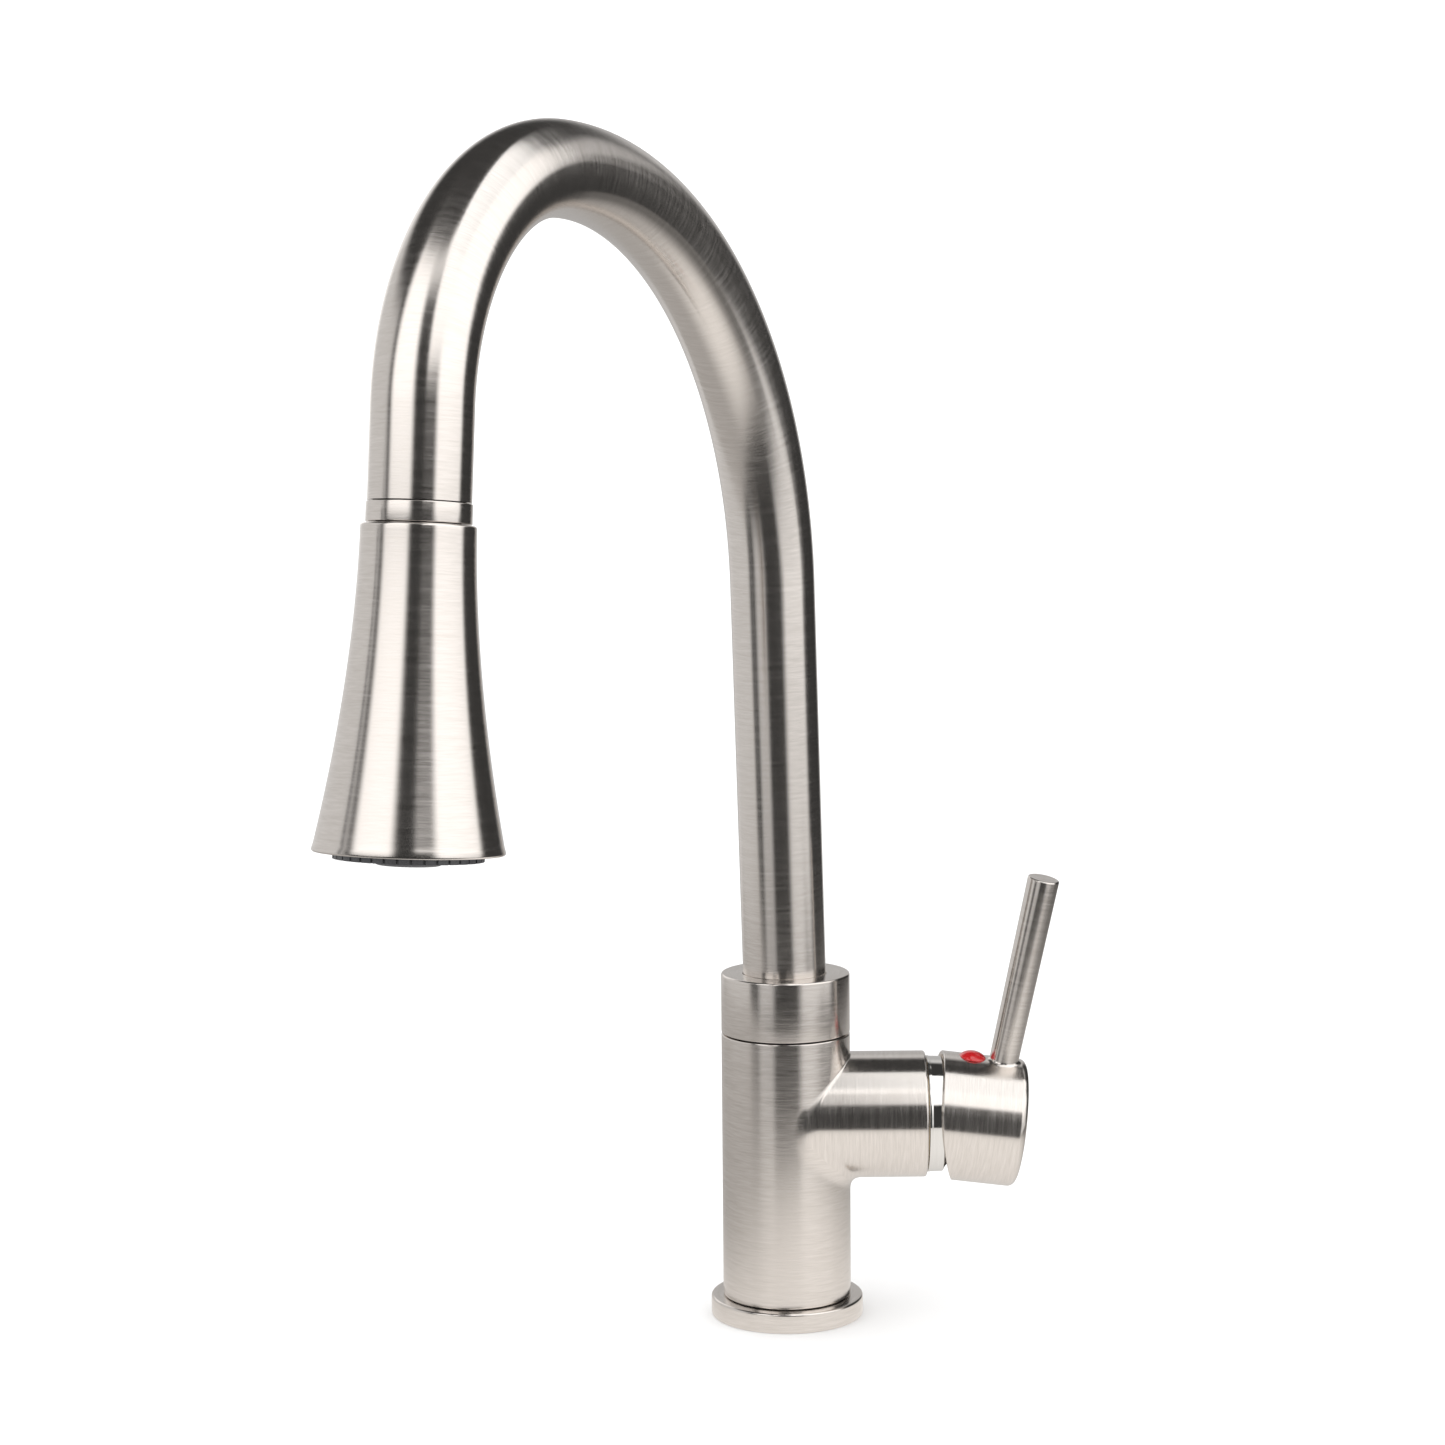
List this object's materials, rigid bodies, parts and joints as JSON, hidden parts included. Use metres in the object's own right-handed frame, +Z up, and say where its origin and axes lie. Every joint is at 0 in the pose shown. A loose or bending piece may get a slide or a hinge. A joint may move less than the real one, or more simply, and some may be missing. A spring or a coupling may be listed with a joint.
{
  "type": "pull down kitchen faucet",
  "caption": "Single-lever kitchen mixer on a round body: a side-branch joystick handle, a swivelling gooseneck spout and a bell-shaped pull-down spray head on a braided hose.",
  "frame": {"origin": "centre of the deck flange's underside, where the faucet stands on the worktop or sink", "axes": "+Z up, +X along the side branch towards the handle, -Y towards the person at the sink; the spout is swung 27 degrees to the left of -Y at rest"},
  "size_m": [0.2347, 0.2677, 0.4114],
  "materials": {
    "brushed_nickel": "fine circumferential brushing, warm light grey",
    "polished_steel": "polished",
    "brass": "turned",
    "ceramic": "lapped",
    "white_acetal": "moulded",
    "dark_grey_plastic": "fine moulded grain",
    "black_rubber": "matt",
    "grey_silicone": "satin",
    "red_enamel": "glossy domed enamel",
    "braided_nylon": "tight braid"
  },
  "bodies": {
    "faucet_body": {"base_flange": "brushed_nickel", "base_seal": "black_rubber", "valve_body": "brushed_nickel", "hot_fitting": "brass", "cold_fitting": "brass", "outlet_fitting": "brass", "hose_guide": "white_acetal", "spout_retaining_screw": "polished_steel", "cartridge_seal": "black_rubber", "cartridge_housing": "white_acetal", "ceramic_disc_fixed": "ceramic", "cartridge_nut": "brass", "cartridge_bonnet": "polished_steel", "thrust_washer": "dark_grey_plastic"},
    "spout": {"spout_foot": "brass", "foot_oring_upper": "black_rubber", "foot_oring_lower": "black_rubber", "swivel_collar": "brushed_nickel", "spout_tube": "brushed_nickel", "spout_tip_ring": "brushed_nickel", "dock_bush": "white_acetal", "pull_hose": "braided_nylon"},
    "mixer_rotor": {"cartridge_rotor": "white_acetal", "stem_pin": "polished_steel"},
    "mixer_disc": {"ceramic_disc_moving": "ceramic", "disc_driver": "white_acetal"},
    "handle": {"cartridge_stem": "polished_steel", "handle_hub": "brushed_nickel", "lever_rod": "brushed_nickel", "index_button": "red_enamel", "handle_set_screw": "polished_steel"},
    "hose_end": {"hose_ferrule": "polished_steel"},
    "spray_head": {"swivel_nut": "brass", "swivel_washer": "black_rubber", "head_core": "dark_grey_plastic", "head_shell": "brushed_nickel", "check_valve": "white_acetal", "face_plate": "dark_grey_plastic"},
    "spray_selector": {"spray_selector_ring": "dark_grey_plastic", "nozzle_mat": "grey_silicone", "stream_outlet": "dark_grey_plastic", "stream_screen": "polished_steel"}
  },
  "joints": [
    {"name": "spout_swivel", "type": "hinge", "parent": "faucet_body", "child": "spout", "pos_m": [0, 0, 0.1], "axis": [0, 0, 1], "continuous": true},
    {"name": "handle_turn", "type": "hinge", "parent": "faucet_body", "child": "mixer_rotor", "pos_m": [0.0525, 0, 0.0724], "axis": [1, 0, 0], "range_deg": [-51.4, 38.6]},
    {"name": "handle_tilt", "type": "hinge", "parent": "mixer_rotor", "child": "handle", "pos_m": [0.0525, 0, 0.0724], "axis": [0, 0.9938, 0.1115], "range_deg": [0, 18]},
    {"name": "disc_slide", "type": "slide", "parent": "mixer_rotor", "child": "mixer_disc", "axis": [0, -0.1115, 0.9938], "range_m": [0, 0.0036]},
    {"name": "head_pull", "type": "slide", "parent": "spout", "child": "hose_end", "axis": [-0.0413, -0.0795, -0.996], "range_m": [0, 0.4], "deforming": ["pull_hose"]},
    {"name": "head_spin", "type": "hinge", "parent": "hose_end", "child": "spray_head", "pos_m": [-0.10663, -0.20526, 0.29817], "axis": [-0.0413, -0.0795, -0.996], "continuous": true},
    {"name": "spray_mode", "type": "hinge", "parent": "spray_head", "child": "spray_selector", "pos_m": [-0.10663, -0.20526, 0.29817], "axis": [-0.0413, -0.0795, -0.996], "range_deg": [0, 60]}
  ],
  "couplings": [
    {"joint": "disc_slide", "follows": "handle_tilt", "m_per_rad": 0.0112}
  ]
}
